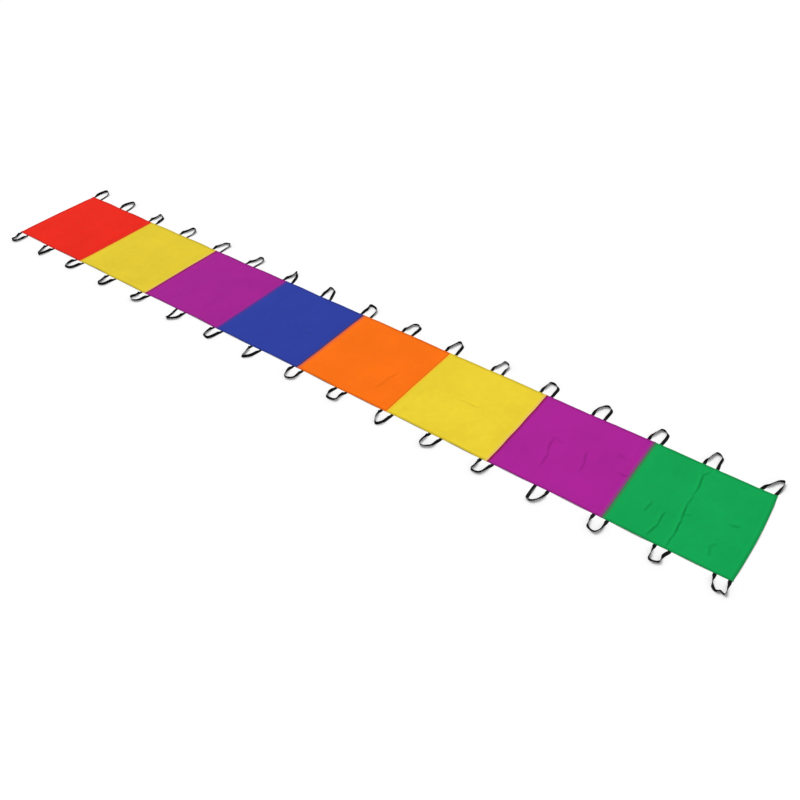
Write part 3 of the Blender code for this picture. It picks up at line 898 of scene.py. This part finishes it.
def cloth_material(name, colour):
    """Thin woven nylon: a fine plain weave, puckers along the sewing and a soft sheen. Its colour holds painted
    shade in the creases' lee, along the hem line and at the edges, painted light towards the green end, and
    painted highlight and shade along the seams.
    """
    t = Tree(name)
    rest = t.attribute("rest")
    x, y, _ = t.separate(rest)
    to_hem = t.math("SUBTRACT", HALF_WIDTH, t.math("ABSOLUTE", y))
    to_end = t.math("SUBTRACT", HALF_LENGTH, t.math("ABSOLUTE", x))
    to_edge = t.math("MINIMUM", to_hem, to_end)
    to_seam = t.math("PINGPONG", x, PANEL / 2)
    large = t.noise(rest, 2.6, 3.0, 0.55)
    small = t.noise(rest, 19.0, 3.0, 0.6)
    fine = t.noise(rest, 420.0, 2.0, 0.6)
    tone = t.spread(t.math("ADD", large, t.math("MULTIPLY", small, 0.5)), 0.45, 1.05, 0.935, 1.065)
    # Painted light: the cloth is painted up to 8.5 % brighter towards the green end
    tone = t.math("MULTIPLY", tone, t.spread(x, 0.5, 1.3, 1.0, 1.085, "SMOOTHSTEP"))
    slub = t.noise(t.stretched(rest, 900.0, 14.0, 1.0), 1.0, 1.0)
    tone = t.math("MULTIPLY", tone, t.spread(slub, 0.3, 0.7, 0.985, 1.015))
    # Painted shade along the hem's inner edge and towards the cloth's outer edges
    to_hem_line = t.math("ABSOLUTE", t.math("SUBTRACT", to_edge, HEM))
    painted_groove_shade = t.spread(to_hem_line, 0.0, 0.004, 0.90, 1.0, "SMOOTHSTEP")
    painted_rim_shade = t.spread(to_edge, 0.006, 0.024, 0.74, 1.0, "SMOOTHSTEP")
    tone = t.math("MULTIPLY", tone, t.math("MULTIPLY", painted_groove_shade, painted_rim_shade))
    # Painted shade in the creases' lee, up to a quarter darker
    tone = t.math("MULTIPLY", tone, t.spread(t.attribute("crease_shade", "Fac"), 0.0, 1.0, 1.0, 0.76))
    base = t.mix("MULTIPLY", 1.0, (*colour, 1.0), t.grey(tone))
    # Painted highlight and shade along the seams, mixed with the other panel's colour
    share = t.math("MULTIPLY", t.attribute("seam_light_shade_share", "Fac"), t.spread(small, 0.3, 0.7, 0.75, 1.0))
    t.surface("Base Color", t.mix("MIX", share, base, t.attribute("seam_light_shade_colour")))
    t.surface("Roughness", t.spread(small, 0.3, 0.7, 0.66, 0.80))
    t.surface("Sheen Weight", 0.03)
    t.surface("Sheen Roughness", 0.5)
    t.surface("Sheen Tint", (*colour, 1.0))
    t.surface("Specular IOR Level", 0.05)
    weave = t.math("MULTIPLY", t.wave(x, WEAVE_PITCH), t.wave(y, WEAVE_PITCH))
    weave = t.math("ADD", weave, t.math("MULTIPLY", fine, 0.6))
    pucker = t.noise(t.stretched(rest, 60.0, 60.0, 1.0), 1.0, 2.0, 0.6)
    sewn = t.spread(t.math("MINIMUM", to_edge, to_seam), 0.004, 0.045, 1.0, 0.08, "SMOOTHSTEP")
    crumple = t.noise(rest, 11.0, 4.0, 0.62)
    normal = t.bump(crumple, 0.010, 0.35)
    normal = t.bump(t.math("MULTIPLY", pucker, sewn), 0.0025, 0.6, normal)
    normal = t.bump(weave, 0.00012, 0.5, normal)
    t.surface("Normal", normal)
    return t.material


def webbing_material(name):
    """Black woven webbing: slanting ribs in a herringbone, firm edges and a dusty sheen."""
    t = Tree(name)
    rest = t.attribute("rest")
    run, across, _ = t.separate(rest)
    folded = t.math("MULTIPLY", t.math("PINGPONG", across, RIB_BAND), math.tau / RIB_SLANT_PITCH)
    slant = t.math("ADD", t.math("MULTIPLY", run, math.tau / RIB_PITCH), folded)
    ribs = t.math("ABSOLUTE", t.math("SINE", slant))
    ends = t.math("ABSOLUTE", t.wave(across, WARP_PITCH))
    weave = t.math("ADD", ribs, t.math("MULTIPLY", ends, 0.4))
    fuzz = t.noise(t.stretched(rest, 900.0, 260.0, 260.0), 1.0, 3.0, 0.7)
    patch = t.noise(rest, 45.0, 2.0)
    light = t.math("MULTIPLY", t.spread(weave, 0.1, 1.3, 0.55, 1.5), t.spread(patch, 0.3, 0.7, 0.85, 1.2))
    edge = t.spread(t.math("ABSOLUTE", across), 0.0107, 0.0123, 1.0, 1.5, "SMOOTHSTEP")
    light = t.math("MULTIPLY", light, t.math("MULTIPLY", edge, t.spread(fuzz, 0.3, 0.75, 0.8, 1.4)))
    t.surface("Base Color", t.mix("MULTIPLY", 1.0, (*WEBBING_COLOUR, 1.0), t.grey(light)))
    t.surface("Roughness", t.spread(fuzz, 0.3, 0.7, 0.68, 0.88))
    t.surface("Specular IOR Level", 0.08)
    normal = t.bump(fuzz, 0.0004, 0.4)
    t.surface("Normal", t.bump(weave, 0.0005, 0.8, normal))
    return t.material


def thread_material(name, colour):
    """Twisted polyester thread, a little duller than its cloth."""
    t = Tree(name)
    rest = t.attribute("rest")
    duller = tuple(0.85 * c + 0.02 for c in colour)
    shade = t.spread(t.noise(rest, 300.0, 2.0), 0.3, 0.7, 0.8, 1.12)
    t.surface("Base Color", t.mix("MULTIPLY", 1.0, (*duller, 1.0), t.grey(shade)))
    twist = t.wave(t.math("ADD", *t.separate(rest)[:2]), TWIST_PITCH)
    t.surface("Roughness", t.spread(twist, -1.0, 1.0, 0.42, 0.6))
    t.surface("Normal", t.bump(twist, 0.0001, 0.5))
    return t.material


def floor_material():
    """A plain matt paper floor with a barely visible grain."""
    t = Tree("studio_floor")
    place = t.add("ShaderNodeNewGeometry").outputs["Position"]
    shade = t.spread(t.noise(place, 1.3, 2.0), 0.3, 0.7, 0.880, 0.892)
    t.surface("Base Color", t.grey(shade))
    t.surface("Roughness", t.spread(t.noise(place, 7.0), 0.3, 0.7, 0.88, 0.95))
    t.surface("Specular IOR Level", 0.05)
    return t.material


# Floor, light and camera

ROOM_STRENGTH = 0.55
LAMP_STRENGTH = 2.25
LAMP_ANGLE = math.radians(34)
LAMP_FROM = (-0.53, 0.22, 0.82)
FLOOR_REACH = 400.0
FLOOR_STATIONS = 13
CAMERA_PLACE = (3.8246, -4.3832, 4.4001)
# Angles in radians: down from level, round from +X towards +Y, and the tilt of the picture
CAMERA_PITCH, CAMERA_YAW, CAMERA_ROLL = 0.7178357, 2.1886595, -0.0106123
CAMERA_LENS = 38.831
CAMERA_SENSOR = 36.0
CAMERA_REACH = 200.0


def make_floor():
    """A large plain floor, not part of the object."""
    steps = np.linspace(-FLOOR_REACH, FLOOR_REACH, FLOOR_STATIONS)
    points = np.stack(np.broadcast_arrays(steps[:, None], steps[None, :], 0.0), axis=-1).reshape(-1, 3)
    faces = grid_faces(FLOOR_STATIONS, FLOOR_STATIONS)
    floor = new_object("studio_floor", points, faces, points, [floor_material()])
    return floor


def make_light():
    """An even room whose backdrop is white, and one soft lamp high up beyond the red end."""
    world = bpy.data.worlds.new("studio")
    world.use_nodes = True
    nodes, links = world.node_tree.nodes, world.node_tree.links
    nodes["Background"].inputs[0].default_value = (1.0, 1.0, 1.0, 1.0)
    seen = nodes.new("ShaderNodeMath")
    seen.operation = "MAXIMUM"
    seen.inputs[1].default_value = ROOM_STRENGTH
    links.new(nodes.new("ShaderNodeLightPath").outputs["Is Camera Ray"], seen.inputs[0])
    links.new(seen.outputs[0], nodes["Background"].inputs[1])
    bpy.context.scene.world = world
    lamp = bpy.data.lights.new("soft_lamp", "SUN")
    lamp.energy = LAMP_STRENGTH
    lamp.angle = LAMP_ANGLE
    lamp_object = bpy.data.objects.new("soft_lamp", lamp)
    lamp_object.rotation_mode = "QUATERNION"
    lamp_object.rotation_quaternion = Vector(LAMP_FROM).to_track_quat("Z", "Y")
    bpy.context.scene.collection.objects.link(lamp_object)


def make_camera():
    """The camera at the photograph's place and angle."""
    pitch, yaw, roll = CAMERA_PITCH, CAMERA_YAW, CAMERA_ROLL
    ahead = Vector((math.cos(pitch) * math.cos(yaw), math.cos(pitch) * math.sin(yaw), -math.sin(pitch)))
    level = Vector((math.sin(yaw), -math.cos(yaw), 0.0))
    down = ahead.cross(level)
    right = math.cos(roll) * level + math.sin(roll) * down
    low = -math.sin(roll) * level + math.cos(roll) * down
    data = bpy.data.cameras.new("camera")
    data.sensor_width = CAMERA_SENSOR
    data.lens = CAMERA_LENS
    data.clip_end = CAMERA_REACH
    camera = bpy.data.objects.new("camera", data)
    turn = Matrix((right, -low, -ahead)).transposed().to_4x4()
    camera.matrix_world = Matrix.Translation(CAMERA_PLACE) @ turn
    bpy.context.scene.collection.objects.link(camera)
    bpy.context.scene.camera = camera


# Putting it together


def make_panels(cloths, threads, sewn, sewn_x):
    """The panels' sheets and, for each panel, its sewing."""
    at_seam = np.abs(flap_place(sewn_x)) < SEAM_HALF
    panels, sewing = {}, {}
    for number, name in enumerate(PANEL_NAMES, 1):
        panel = panel_sheet(number, cloths[tint_of(number)])
        panel.name = f"{name}_sheet"
        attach(panel, f"panel_{number}")
        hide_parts(name)
        panels[number] = panel
        own = ~at_seam & (sewn_x > seam_x(number - 1)) & (sewn_x <= seam_x(number))
        tint = tint_of(number)
        thread = thread_object(f"stitching_{number}_{tint}", sewn[own], threads[tint])
        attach(thread, f"panel_{number}")
        sewing[number] = [thread]
    return panels, sewing


def make_seams(cloths, threads, sewn, sewn_x, sewing):
    """The seams and their stitches, listed with the sewing of the panel on their green side."""
    at_seam = np.abs(flap_place(sewn_x)) < SEAM_HALF
    for number, side in enumerate(FLAP_SIDES, 1):
        flap = number if side < 0 else number + 1
        strip = seam_strip(number, cloths)
        own = sewn[at_seam & (nearest_seam(sewn_x) == number)]
        thread = thread_object(f"seam_stitching_{number}_{number + 1}", own, threads[tint_of(flap)])
        for piece in (strip, thread):
            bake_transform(piece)
            sewing[number + 1].append(piece)


def make_loops(webbing):
    """The webbing loops, in place of the CAD model's handles, which are hidden."""
    for edge, side, loops in EDGES:
        for index, (offset, turns, shape) in enumerate(loops):
            node = f"handle_{edge}_{index + 1:02d}"
            centre = loop_centre(index, offset)
            loop = webbing_loop(f"{node}_webbing", shape, turns, centre, side, webbing)
            if index % 2 == 1 or index in (0, 2 * PANELS):
                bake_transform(loop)
            else:
                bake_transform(loop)
            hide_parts(node)


def build():
    """The whole scene: stage, cloth, sewing and loops."""
    scene = bpy.context.scene
    scene.view_settings.view_transform = "Standard"
    scene.view_settings.look = "None"
    floor = make_floor()
    make_light()
    make_camera()
    cloths = {tint: cloth_material(f"cloth_{tint}", colour) for tint, colour in CLOTH_COLOURS.items()}
    threads = {tint: thread_material(f"thread_{tint}", colour) for tint, colour in CLOTH_COLOURS.items()}
    webbing = webbing_material("webbing_black")

    sewn, sewn_x = all_stitches()
    panels, sewing = make_panels(cloths, threads, sewn, sewn_x)
    make_seams(cloths, threads, sewn, sewn_x, sewing)
    make_loops(webbing)


build()
